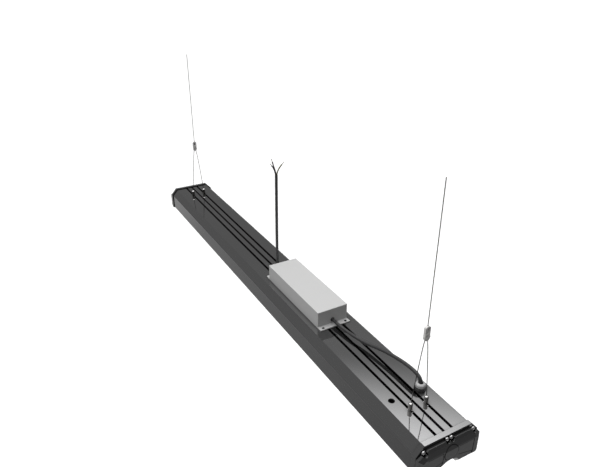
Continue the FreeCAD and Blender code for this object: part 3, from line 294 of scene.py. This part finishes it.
def clamp_finish():
    """Nickel-plated barrels, with a painted highlight: their domes are coloured near white, far brighter than
    the barrels.
    """
    look = Shader("bright_nickel", NICKEL_GREY, 0.08, 1.0)
    # Painted highlight: the dome above this level is coloured near white.
    dome = combine(look.tree, "GREATER_THAN", look.place()[2], DOME_START)
    look.colors(dome, NICKEL_GREY, (0.95, 0.94, 0.93))
    look.gloss(look.noise(200.0), 0.06, 0.12)
    return look.material


def link_finish():
    """Cast nickel with an uneven, wavy surface; its pale colour, brightened near white and mottled, is partly
    a painted reflection of bright surroundings.
    """
    look = Shader("link_nickel", (0.85, 0.84, 0.82), 0.28, 0.08)
    ripple_and_reflection = look.noise(1.0, 2.0, (260, 260, 260))
    # Painted reflection: the colour is mottled from pale to near white with the same noise as the bump.
    look.colors(look.between(ripple_and_reflection, 0.0, 1.0), (0.62, 0.61, 0.6), (0.98, 0.97, 0.95))
    look.bump(ripple_and_reflection, 0.4, 0.0006)
    return look.material


def chip_finish():
    """White chip bodies with a round yellow phosphor window in each, on the boards' regular pitch."""
    look = Shader("chip_package", PACKAGE_WHITE, 0.35)
    tree = look.tree
    x, y, _ = look.place()
    along = combine(tree, "SUBTRACT", combine(tree, "WRAP", x, CHIP_PITCH, 0.0), CHIP_PITCH / 2)
    bay = combine(tree, "ABSOLUTE", combine(tree, "SUBTRACT", y, BAY_MIDDLE))
    across = combine(tree, "SUBTRACT", bay, CHIP_ROW_SIDE)
    squares = combine(tree, "ADD", combine(tree, "MULTIPLY", along, along),
                      combine(tree, "MULTIPLY", across, across))
    window = combine(tree, "LESS_THAN", squares, WINDOW_RADIUS ** 2)
    look.colors(window, PACKAGE_WHITE, (0.8, 0.55, 0.06))
    return look.material


def driver_finish():
    """Silver-grey painted sheet metal, with a fine satin texture and painted shade that makes it slightly
    darker where other surfaces stand close, as in its corners.
    """
    look = Shader("driver_paint", (0.55, 0.55, 0.55), 0.45)
    # Painted shade: darker where other surfaces stand close.
    look.colors(look.crevice_shade(0.03, 0.0), (0.44, 0.44, 0.44), (0.56, 0.56, 0.558))
    look.gloss(look.noise(70.0), 0.4, 0.5)
    look.bump(look.noise(1500.0, 2.0), 0.03)
    return look.material


def lens_finish():
    """Clear polycarbonate: a thin wall that bends no light, with a faint milky tone and its own gloss."""
    look = Shader("lens_polycarbonate", (0.8, 0.82, 0.84), 0.14)
    look.set("Alpha", 0.14)
    look.set("IOR", 1.58)
    look.gloss(look.noise(12.0, 1.0), 0.12, 0.17)
    return look.material


def core_green_finish():
    """Green insulation with a yellow stripe along it."""
    look = Shader("core_green_yellow", GREEN, 0.4)
    stripe = combine(look.tree, "GREATER_THAN", look.place()[0], STRIPE_START)
    look.colors(stripe, GREEN, (0.16, 0.15, 0.035))
    look.bump(look.noise(900.0), 0.05)
    return look.material


looks = {
    "housing_finish": housing_finish(),
    "cap_finish": cap_finish(),
    "seal_rubber": moulded("seal_rubber", (0.018, 0.018, 0.018), 0.6),
    "screw_steel": metal("zinc_steel", (0.86, 0.86, 0.86), 0.32),
    "screw_black": metal("black_steel", (0.03, 0.03, 0.032), 0.35),
    "board_white": moulded("board_white", (0.8, 0.8, 0.79), 0.3),
    "chip_phosphor": chip_finish(),
    "lens_clear": lens_finish(),
    "driver_shell": driver_finish(),
    "driver_base_metal": driver_finish(),
    "circuit_green": moulded("circuit_green", (0.03, 0.16, 0.06), 0.3),
    "ferrite": moulded("ferrite", (0.03, 0.03, 0.03), 0.55),
    "capacitor_sleeve": moulded("capacitor_sleeve", (0.02, 0.025, 0.08), 0.3),
    "spacer_nylon": moulded("spacer_nylon", (0.75, 0.75, 0.72), 0.4),
    "cord_jacket": moulded("cord_jacket", (0.034, 0.034, 0.035), 0.42),
    "lead_jacket": moulded("lead_jacket", (0.08, 0.08, 0.081), 0.5),
    "core_brown": moulded("core_brown", (0.05, 0.03, 0.022), 0.4),
    "core_blue": moulded("core_blue", (0.03, 0.045, 0.09), 0.4),
    "core_green": core_green_finish(),
    "tinned_copper": metal("tinned_copper", (0.72, 0.68, 0.6), 0.25, (300, 300, 4000)),
    "gland_nylon": moulded("gland_nylon", (0.045, 0.045, 0.046), 0.4),
    "gland_light": moulded("gland_light", (0.46, 0.46, 0.46), 0.3),
    "bright_chrome": clamp_finish(),
    "link_chrome": link_finish(),
    "wire_steel": wire_finish(),
    "stop_metal": metal("stop_metal", (0.7, 0.7, 0.7), 0.25),
}

slot_of = {entry["node"]: entry["material_slot"] for entry in frame["record"]["subparts"]}


def dress(piece, slot_name, look=None):
    """Gives a new piece the material of its slot, or of the look named, and its body."""
    piece.data.materials.clear()
    piece.data.materials.append(looks[look or slot_name])
    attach(piece, "root")


def dress_nodes():
    """Gives every node of the frame the material of its slot."""
    for name, node in nodes.items():
        look = looks["link_chrome" if name.startswith("wire_link") else slot_of[name]]
        if not node.material_slots:
            node.data.materials.append(look)
        for place in node.material_slots:
            place.material = look


# Shared geometry

def mm(x, y, z):
    """A place in metres, from millimetres."""
    return (x / 1000, y / 1000, z / 1000)


def new_object(name, data):
    """A new object in the scene."""
    made = bpy.data.objects.new(name, data)
    scene.collection.objects.link(made)
    return made


def circle_points(radius, count):
    """Points at even steps round a circle."""
    return [(radius * math.cos(2 * math.pi * step / count), radius * math.sin(2 * math.pi * step / count))
            for step in range(count)]


def skin(build, rings):
    """Quads between each ring of vertices and the next."""
    for first, second in zip(rings, rings[1:]):
        for index in range(len(first)):
            following = (index + 1) % len(first)
            build.faces.new((first[index], first[following], second[following], second[index]))


def skin_closed(build, rings):
    """The same, with a face over each end."""
    skin(build, rings)
    build.faces.new(reversed(rings[0]))
    build.faces.new(rings[-1])


def finished_mesh(name, build):
    """The built mesh, with its faces turned outwards."""
    bmesh.ops.recalc_face_normals(build, faces=build.faces)
    mesh = bpy.data.meshes.new(name)
    build.to_mesh(mesh)
    build.free()
    return mesh


def smooth_but_for(mesh, degrees):
    """Smooth shading, apart from edges sharper than the angle."""
    mesh.shade_smooth()
    mesh.set_sharp_from_angle(angle=math.radians(degrees))


def frames_along(line):
    """Each point of a line, two directions across the line there, and its distance from the start."""
    normal = None
    travelled = 0.0
    for index, point in enumerate(line):
        before = line[max(index - 1, 0)]
        after = line[min(index + 1, len(line) - 1)]
        tangent = (after - before).normalized()
        if normal is None:
            normal = tangent.orthogonal().normalized()
        normal = (normal - tangent * normal.dot(tangent)).normalized()
        if index:
            travelled += (point - line[index - 1]).length
        yield point, normal, tangent.cross(normal), travelled


# Cords

CORE_DIAMETER = 0.0026
TIP_RADIUS = 0.00068
TIP_LENGTH = 0.007
LEAD_DIAMETER = 0.0065
CABLE_DIAMETER = 0.007
WIRE_DIAMETER = 0.0015
STRANDS = 6
STRAND_SHARE = 0.36
LOBE_HEIGHT = 0.12
ROPE_STEP = 0.0007
ROPE_TURNS = 110
TIP_TURNS = 90

# The suspension, in millimetres
WIRE_SIDE = 525.5
WIRE_TAIL = 7
LOOP_RISE = 8.9
HANGER_RISE = 12
STRAIGHT_END = 60
CLAMP_SIDE = 17.1
CLAMP_LEVEL = 62.6
CLAMP_TOP = 74.5
LINK_LEVELS = {"left": 202, "right": 198}
HANGER_TOPS = {"left": 482, "right": 474}


def spline_curve(name, points, radius=0.0):
    """A curve of one NURBS spline through the route's points."""
    data = bpy.data.curves.new(name, "CURVE")
    data.dimensions = "3D"
    data.resolution_u = 16
    data.bevel_depth = radius
    data.bevel_resolution = 8
    data.use_fill_caps = True
    spline = data.splines.new("NURBS")
    spline.points.add(len(points) - 1)
    for point, place in zip(spline.points, points):
        point.co = (*place, 1)
    spline.order_u = 3
    spline.use_endpoint_u = True
    return new_object(name, data)


def centreline(name, points):
    """The points along a route's spline, read from a curve without a bevel."""
    curve = spline_curve(name + "_line", points)
    mesh = bpy.data.meshes.new_from_object(curve)
    line = [vertex.co.copy() for vertex in mesh.vertices]
    bpy.data.meshes.remove(mesh)
    bpy.data.objects.remove(curve)
    return line


def evenly(line, step):
    """Points at even steps along a line of points."""
    even = [line[0]]
    left = step
    for before, after in zip(line, line[1:]):
        run = (after - before).length
        done = 0.0
        while run - done > left:
            done += left
            even.append(before.lerp(after, done / run))
            left = step
        left -= run - done
    even.append(line[-1])
    return even


def length_of(line):
    return sum((after - before).length for before, after in zip(line, line[1:]))


def twisted(name, line, section, turns_per_metre):
    """A closed mesh along a line: its section, a list of (across, up) points, turns as it goes."""
    build = bmesh.new()
    rings = []
    for point, normal, across, travelled in frames_along(line):
        angle = turns_per_metre * travelled * 2 * math.pi
        ring = []
        for first, second in section:
            x = first * math.cos(angle) - second * math.sin(angle)
            y = first * math.sin(angle) + second * math.cos(angle)
            ring.append(build.verts.new(point + normal * x + across * y))
        rings.append(ring)
    skin_closed(build, rings)
    mesh = finished_mesh(name, build)
    for polygon in mesh.polygons:
        polygon.use_smooth = len(polygon.vertices) == 4
    return new_object(name, mesh)


def stranded_section(radius):
    """The outline of round strands that lie side by side in a circle."""
    section = []
    around = 5
    strand = radius * STRAND_SHARE
    for index in range(STRANDS):
        middle = 2 * math.pi * index / STRANDS
        for step in range(around):
            angle = middle + (step / (around - 1) - 0.5) * math.pi * 0.98
            x = (radius - strand) * math.cos(middle) + strand * math.cos(angle)
            y = (radius - strand) * math.sin(middle) + strand * math.sin(angle)
            section.append((x, y))
    return section


def lobed_section(radius):
    """A circle with shallow lobes, for a core's fine strands."""
    count = 24
    section = []
    for step, (x, y) in enumerate(circle_points(radius, count)):
        swell = 1 + LOBE_HEIGHT * math.cos(STRANDS * 2 * math.pi * step / count)
        section.append((x * swell, y * swell))
    return section


def rope(name, points, node):
    """A taut wire rope along its route."""
    line = centreline(name, points)
    piece = twisted(name, evenly(line, ROPE_STEP), stranded_section(WIRE_DIAMETER / 2), ROPE_TURNS)
    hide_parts(node)
    dress(piece, "wire_steel")
    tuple(line[0])
    length_of(line)


def smooth_cord(name, points, diameter, node, look):
    """A jacketed cable along its route."""
    piece = spline_curve(name, points, diameter / 2)
    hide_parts(node)
    dress(piece, "cord_jacket", look)
    line = centreline(name, points)
    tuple(line[0])
    length_of(line)


LEAD_SPLIT = mm(10.8, 0.8, 304.5)

lead_points = [
    mm(43.4, 0, 70), mm(24.1, 0, 70), mm(13.3, 0, 76.2), mm(7.2, 0, 87), LEAD_SPLIT,
]
output_points = [
    mm(246.6, 0, 70), mm(282.6, 0.3, 70), mm(322, 6, 70.2), mm(354, 13.6, 70.8), mm(385, 21.2, 76.4),
    mm(414, 26.8, 80.4), mm(440, 29.8, 83.5), mm(460, 30.9, 85.2), mm(477, 31.3, 85.2),
    mm(490, 31.4, 81.6), mm(493.7, 31.5, 72.5), mm(493.6, 31.5, 52),
]


def offset_points(start, offsets):
    """Places at offsets in millimetres from a start in metres."""
    return [tuple(s + o / 1000 for s, o in zip(start, offset)) for offset in offsets]


def make_cores():
    """The stripped end of the lead: three insulated cores with bare ends."""
    side = 1.508
    lean = -1.357
    routes = {
        "core_live": [(side, lean, 0), (side, lean, 3), (1.35, -3.3, 10.5), (1.2, -6.3, 19.8),
                      (1, -8.1, 26.5), (0.9, -9.5, 31.2)],
        "core_neutral": [(-side, lean, 0), (-side, lean, 3), (-1.6, -3.6, 10), (-1.8, -6.2, 17),
                         (-1.9, -9.6, 21.5)],
        "core_earth": [(0, side, 0), (0, side, 1.5), (0.2, 4, 8.5), (0.4, 8.2, 15.8), (0.8, 14.2, 21.8)],
    }
    slots = {"core_live": "core_brown", "core_neutral": "core_blue", "core_earth": "core_green"}
    pieces = []
    tips = []
    for name, offsets in routes.items():
        points = offset_points(LEAD_SPLIT, offsets)
        core = spline_curve(name + "_insulation", points, CORE_DIAMETER / 2)
        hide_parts(name)
        dress(core, slots[name])
        pieces.append(core)
        last = Vector(points[-1])
        ahead = (last - Vector(points[-2])).normalized()
        line = [last + ahead * (TIP_LENGTH * step / 12) for step in range(13)]
        tip = twisted(name + "_tip", line, lobed_section(TIP_RADIUS), TIP_TURNS)
        dress(tip, "tinned_copper")
        tips.append(tip)
    for tip in tips:
        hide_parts("core_tips")
    return pieces + tips


# Turned pieces and screws

def hollow(name, line, outer, inner, ridges=0, ridge_depth=0.0, ridge_end=0.0):
    """A closed sleeve along a line: outer and inner give the radii at a distance from its start."""
    count = 96 if ridges else 40
    build = bmesh.new()
    outside = []
    inside = []
    for point, normal, across, travelled in frames_along(line):
        depth = ridge_depth if travelled < ridge_end else 0.0
        for shell, radius, cut in ((outside, outer(travelled), depth), (inside, inner(travelled), 0.0)):
            ring = []
            for step in range(count):
                angle = 2 * math.pi * step / count
                size = radius - cut * (0.5 - 0.5 * math.cos(ridges * angle))
                out = normal * math.cos(angle) + across * math.sin(angle)
                ring.append(build.verts.new(point + out * size))
            shell.append(ring)
    skin(build, outside + inside[::-1] + outside[:1])
    mesh = finished_mesh(name, build)
    smooth_but_for(mesh, 40)
    return new_object(name, mesh)


def steps_between(levels):
    """A radius that runs straight from one (distance, radius) pair to the next."""
    def radius(distance):
        for (start, first), (end, second) in zip(levels, levels[1:]):
            if distance <= end:
                return first + (second - first) * (distance - start) / (end - start)
        return levels[-1][1]
    return radius


def turned_mesh(name, profile):
    """A solid of revolution round Z through (radius, height) pairs, from the bottom to the top."""
    build = bmesh.new()
    rings = [[build.verts.new((x, y, height)) for x, y in circle_points(radius, 40)]
             for radius, height in profile]
    skin_closed(build, rings)
    return finished_mesh(name, build)


def cross_cutter(reach, half_width, top, depth):
    """A tapered cross that cuts a screwdriver recess."""
    outline = [(half_width, half_width), (half_width, reach), (-half_width, reach), (-half_width, half_width),
               (-reach, half_width), (-reach, -half_width), (-half_width, -half_width), (-half_width, -reach),
               (half_width, -reach), (half_width, -half_width), (reach, -half_width), (reach, half_width)]
    build = bmesh.new()
    rings = [[build.verts.new((x * scale, y * scale, height)) for x, y in outline]
             for scale, height in ((0.45, top - depth), (1.0, top), (1.0, top + depth))]
    skin_closed(build, rings)
    return finished_mesh("cross", build)


def pan_screw(name, head, tall, shank, length):
    """A pan-head screw's mesh with a cross recess: its head sits on z = 0, and its shank points down."""
    profile = [(shank * 0.7, -length), (shank, -length + 0.3 * shank), (shank, 0), (head * 0.94, 0),
               (head, tall * 0.12), (head, tall * 0.35), (head * 0.95, tall * 0.58),
               (head * 0.82, tall * 0.79), (head * 0.6, tall * 0.93), (head * 0.3, tall * 0.99),
               (head * 0.05, tall)]
    piece = new_object(name, turned_mesh(name, profile))
    cross = cross_cutter(reach=head * 0.56, half_width=head * 0.13, top=tall, depth=tall * 0.55)
    cutter = new_object(name + "_cross", cross)
    cut = piece.modifiers.new("recess", "BOOLEAN")
    cut.object = cutter
    cut.operation = "DIFFERENCE"
    cut.solver = "EXACT"
    graph = bpy.context.evaluated_depsgraph_get()
    mesh = bpy.data.meshes.new_from_object(piece.evaluated_get(graph))
    for item in (piece, cutter):
        bpy.data.objects.remove(item)
    return mesh


def place_screws(node, slot_name, mesh, places, axis):
    """Copies of one screw's mesh in place of a node's plain screws, along one axis and each turned on."""
    build = bmesh.new()
    turn = Vector(axis).to_track_quat("Z", "Y").to_matrix().to_4x4()
    for index, place in enumerate(places):
        copy = mesh.copy()
        twist = Matrix.Rotation(0.4 + 1.1 * index, 4, "Z")
        copy.transform(Matrix.Translation(Vector(place) / 1000) @ turn @ twist)
        build.from_mesh(copy)
        bpy.data.meshes.remove(copy)
    joined = bpy.data.meshes.new(node + "_detailed")
    build.to_mesh(joined)
    build.free()
    smooth_but_for(joined, 38)
    piece = new_object(node + "_detailed", joined)
    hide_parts(node)
    dress(piece, slot_name)


def make_screws():
    """The caps' and the driver's screws, with their places in millimetres."""
    cap_screw = pan_screw("cap_screw", head=0.00375, tall=0.003, shank=0.0016, length=0.014)
    ports = [(52.0, 51.6), (-52.0, 51.6), (4.5, 56.4), (-4.5, 56.4)]
    seat = 601.2
    for sign, name in ((1, "cap_screws_right"), (-1, "cap_screws_left")):
        place_screws(name, "screw_steel", cap_screw, [(sign * seat, y, z) for y, z in ports], (sign, 0, 0))
    flange_screw = pan_screw("flange_screw", head=0.0026, tall=0.0014, shank=0.0015, length=0.006)
    flange_top = 62
    places = [(x, y, flange_top) for x in (27.6, 262.4) for y in (-26.7, 26.7)]
    place_screws("driver_screws", "screw_black", flange_screw, places, (0, 0, 1))


def make_gland_crown():
    """The gland's light grey cap nut, with grip ridges and a domed rim round its mouth."""
    foot = Vector(mm(493.6, 31.5, 65.3))
    tall = 0.0082
    line = [foot + Vector((0, 0, tall * step / 41)) for step in range(42)]
    outer = steps_between([(0.0, 0.0086), (0.0006, 0.0092), (0.005, 0.0092), (0.0056, 0.0088),
                           (0.0064, 0.0083), (0.0072, 0.0075), (0.0078, 0.0066), (tall, 0.0058)])
    inner = steps_between([(0.0, 0.0072), (0.0058, 0.0072), (0.006, 0.0046), (0.0076, 0.0046), (tall, 0.005)])
    crown = hollow("gland_crown", line, outer, inner, ridges=16, ridge_depth=0.0007, ridge_end=0.0052)
    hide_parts("gland_cap")
    dress(crown, "gland_light")


def make_strain_relief():
    """The tapered and grooved sleeve that carries the mains lead through its first bend."""
    start = Vector((0.0381, 0, 0.07))
    length = 0.0355
    step = 0.0004
    line = [point for point in evenly(centreline("lead_sleeve", lead_points), step) if point.x <= start.x]
    line = [start] + line[:int(length / step)]
    base = steps_between([(0.0, 0.0056), (0.0011, 0.0056), (0.0012, 0.0047), (0.0026, 0.0047),
                          (0.0027, 0.0056), (0.0042, 0.0056), (0.0046, 0.0052), (length, 0.0039)])

    pitch = 0.004
    groove_width = 0.0014
    groove_depth = 0.0008
    bore = 0.00335

    def outer(distance):
        grooved = 0.009 < distance < length - pitch and distance % pitch < groove_width
        return base(distance) - (groove_depth if grooved else 0.0)

    sleeve = hollow("lead_strain_relief", line, outer, lambda distance: bore)
    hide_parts("lead_bushing")
    dress(sleeve, "seal_rubber")


def make_cords():
    """Both cables, and at each end the bridle from clamp to clamp over its link, and the hanger above it."""
    cores = make_cores()
    smooth_cord("mains_lead_cord", lead_points, LEAD_DIAMETER, "mains_lead", "lead_jacket")
    smooth_cord("output_cable_cord", output_points, CABLE_DIAMETER, "output_cable", "cord_jacket")
    for end, name in ((-1, "left"), (1, "right")):
        x = end * WIRE_SIDE
        tail = x + end * WIRE_TAIL
        loop = LINK_LEVELS[name] + LOOP_RISE
        foot = LINK_LEVELS[name] + HANGER_RISE
        top = HANGER_TOPS[name]
        points = [
            mm(tail, -CLAMP_SIDE, CLAMP_LEVEL), mm(x, -CLAMP_SIDE, CLAMP_LEVEL),
            mm(x, -CLAMP_SIDE, CLAMP_TOP), mm(x, -3.4, loop), mm(x, 3.4, loop),
            mm(x, CLAMP_SIDE, CLAMP_TOP), mm(x, CLAMP_SIDE, CLAMP_LEVEL), mm(tail, CLAMP_SIDE, CLAMP_LEVEL),
        ]
        rope(f"bridle_rope_{name}", points, f"bridle_wire_{name}")
        points = [mm(x, 0, level) for level in (foot, foot + STRAIGHT_END, top - STRAIGHT_END, top)]
        rope(f"hanger_rope_{name}", points, f"hanger_wire_{name}")


# Studio

FLOOR_HALF = 30
FLOOR_LEVEL = -1.6
FLOOR_TONE = 0.8
FLOOR_GLOW = 0.35
LAMP_PLACE = Vector((0.1, -2.4, 2.9))
LAMP_FACES = Vector((0.1, -2.4, 2.85))
CAMERA_PLACE = (1.0622, -0.531, 0.7576)
CAMERA_AZIMUTH = 60.63
CAMERA_DOWN = 26.94


def make_floor():
    """A pale floor for the camera, that lights the underside and throws more light back from the far end."""
    corners = [(x * FLOOR_HALF, y * FLOOR_HALF, FLOOR_LEVEL) for x, y in ((-1, -1), (1, -1), (1, 1), (-1, 1))]
    mesh = bpy.data.meshes.new("floor")
    mesh.from_pydata(corners, [], [(0, 1, 2, 3)])
    floor = new_object("floor", mesh)
    look = bpy.data.materials.new("pale_floor")
    look.use_nodes = True
    tree = look.node_tree
    shader = tree.nodes["Principled BSDF"]
    shader.inputs["Roughness"].default_value = 0.9
    shader.inputs["Specular IOR Level"].default_value = 0.0
    place = tree.nodes.new("ShaderNodeTexCoord")
    split = tree.nodes.new("ShaderNodeSeparateXYZ")
    tree.links.new(place.outputs["Object"], split.inputs["Vector"])
    # Painted light for other rays: the floor's colour makes a bright strip under the object, brighter towards
    # the far end and dimmer towards +X.
    along = ramp(tree, split.outputs["X"], (-3.5, -0.5, 0.263, 0.137))
    far = ramp(tree, split.outputs["X"], (-4.4, -3.5, 1.6, 1.0))
    right = ramp(tree, split.outputs["X"], (1.4, 4.4, 1.12, 0.6), smooth=True)
    under = ramp(tree, combine(tree, "ABSOLUTE", split.outputs["Y"]), (0.4, 0.85, 4.0, 1.0), smooth=True)
    level = combine(tree, "MULTIPLY", combine(tree, "MULTIPLY", along, far),
                    combine(tree, "MULTIPLY", right, under))
    seen = seen_directly(tree)
    pale = tree.nodes.new("ShaderNodeMix")
    tree.links.new(seen, pale.inputs["Factor"])
    tree.links.new(level, pale.inputs["A"])
    pale.inputs["B"].default_value = FLOOR_TONE
    tree.links.new(pale.outputs["Result"], shader.inputs["Base Color"])
    glow = tree.nodes.new("ShaderNodeEmission")
    tree.links.new(combine(tree, "MULTIPLY", seen, FLOOR_GLOW), glow.inputs["Strength"])
    both = tree.nodes.new("ShaderNodeAddShader")
    tree.links.new(shader.outputs["BSDF"], both.inputs[0])
    tree.links.new(glow.outputs["Emission"], both.inputs[1])
    tree.links.new(both.outputs["Shader"], tree.nodes["Material Output"].inputs["Surface"])
    mesh.materials.append(look)


def make_world():
    """A studio with a broad soft ceiling, dimmer towards +X, and white where the camera sees it."""
    world = bpy.data.worlds.new("studio")
    scene.world = world
    world.use_nodes = True
    tree = world.node_tree
    background = tree.nodes["Background"]
    background.inputs["Color"].default_value = (1, 1, 1, 1)
    place = tree.nodes.new("ShaderNodeTexCoord")
    split = tree.nodes.new("ShaderNodeSeparateXYZ")
    tree.links.new(place.outputs["Generated"], split.inputs["Vector"])
    wall = ramp(tree, split.outputs["Z"], (0.45, 0.65, 0.19, 0.27), smooth=True)
    ceiling = ramp(tree, split.outputs["Z"], (0.62, 0.765, 0.0, 2.05), smooth=True)
    side = ramp(tree, split.outputs["X"], (-0.7, 0.8, 1.0, 0.35), smooth=True)
    light = combine(tree, "MULTIPLY", combine(tree, "ADD", wall, ceiling), side)
    choice = tree.nodes.new("ShaderNodeMix")
    choice.inputs["B"].default_value = 1.0
    tree.links.new(seen_directly(tree), choice.inputs["Factor"])
    tree.links.new(light, choice.inputs["A"])
    tree.links.new(choice.outputs["Result"], background.inputs["Strength"])


def make_key_lamp():
    """A broad soft lamp over the front, which the metal doesn't mirror."""
    data = bpy.data.lights.new("key", "AREA")
    data.shape = "DISK"
    data.size = 1.8
    data.energy = 45
    lamp = new_object("key", data)
    lamp.location = LAMP_PLACE
    lamp.rotation_euler = LAMP_FACES.to_track_quat("Z", "Y").to_euler()
    lamp.visible_glossy = False


def make_camera():
    """The camera that was fitted to the photograph."""
    data = bpy.data.cameras.new("camera")
    data.lens = 34.24
    data.sensor_width = 36
    data.clip_end = 200
    camera = new_object("camera", data)
    camera.location = CAMERA_PLACE
    camera.rotation_euler = (math.radians(90 - CAMERA_DOWN), 0, math.radians(CAMERA_AZIMUTH))
    scene.camera = camera


make_camera()
dress_nodes()
make_cords()
make_screws()
make_gland_crown()
make_strain_relief()
make_floor()
make_world()
make_key_lamp()
scene.view_settings.view_transform = "Standard"
